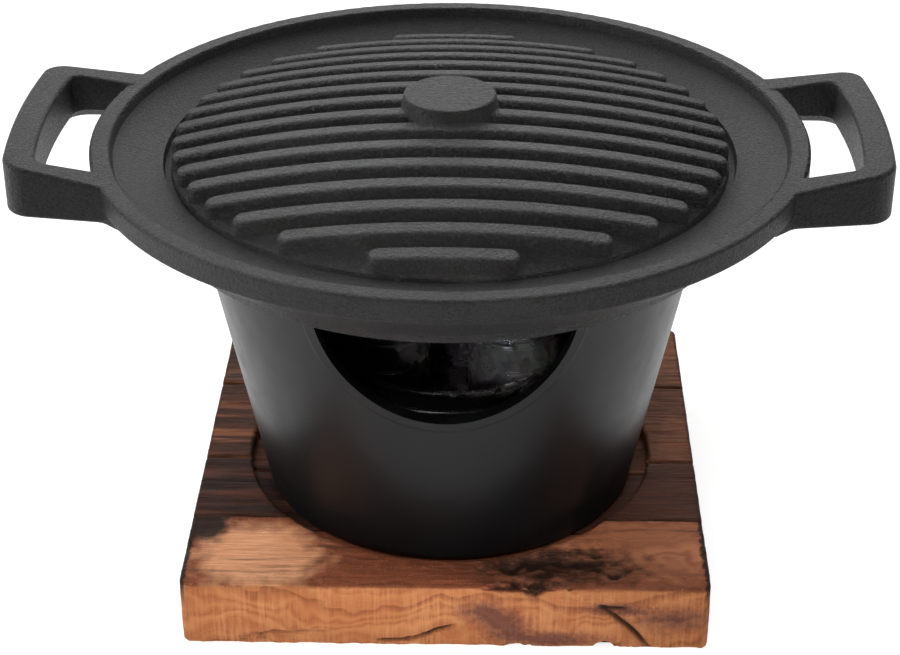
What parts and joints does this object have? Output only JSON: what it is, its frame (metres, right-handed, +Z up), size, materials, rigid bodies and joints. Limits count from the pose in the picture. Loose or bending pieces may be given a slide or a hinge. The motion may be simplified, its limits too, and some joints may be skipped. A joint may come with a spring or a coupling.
{
  "type": "hibachi grill",
  "caption": "Table-top hibachi grill: round ribbed cast pan with loop handles on a conical stove with a fire port, spirit burner inside, recessed square wooden base.",
  "frame": {"origin": "middle of the wooden base's underside, on the surface that the grill stands on", "axes": "+Z up, X from handle to handle, -Y towards the fire port at the front"},
  "size_m": [0.2296, 0.19, 0.1284],
  "materials": {
    "base_wood": "charred and brushed softwood, oiled",
    "stove_paint": "satin black heat-resistant paint",
    "pan_casting": "sand-cast, matt black coating",
    "burner_enamel": "gloss black",
    "wick_cotton": "packed cotton fibre",
    "gauze_steel": "woven wire"
  },
  "bodies": {
    "base": {"base_board_front": "base_wood", "base_board_second": "base_wood", "base_board_third": "base_wood", "base_board_rear": "base_wood"},
    "stove": {"stove_body": "stove_paint"},
    "burner": {"burner_pan": "burner_enamel", "burner_tray": "burner_enamel", "burner_cup_1": "burner_enamel", "burner_cup_2": "burner_enamel", "burner_cup_3": "burner_enamel", "burner_cap_1": "burner_enamel", "burner_cap_2": "burner_enamel", "burner_cap_3": "burner_enamel", "wick_1": "wick_cotton", "wick_2": "wick_cotton", "wick_3": "wick_cotton", "wick_gauze_1": "gauze_steel", "wick_gauze_2": "gauze_steel", "wick_gauze_3": "gauze_steel"},
    "pan": {"grill_pan": "pan_casting"}
  },
  "joints": [
    {"name": "stove_lift", "type": "slide", "parent": "base", "child": "stove", "axis": [0, 0, 1], "range_m": [0, 0.03]},
    {"name": "burner_lift", "type": "slide", "parent": "stove", "child": "burner", "axis": [0, 0, 1], "range_m": [0, 0.1]},
    {"name": "pan_lift", "type": "slide", "parent": "burner", "child": "pan", "axis": [0, 0, 1], "range_m": [0, 0.06]}
  ]
}
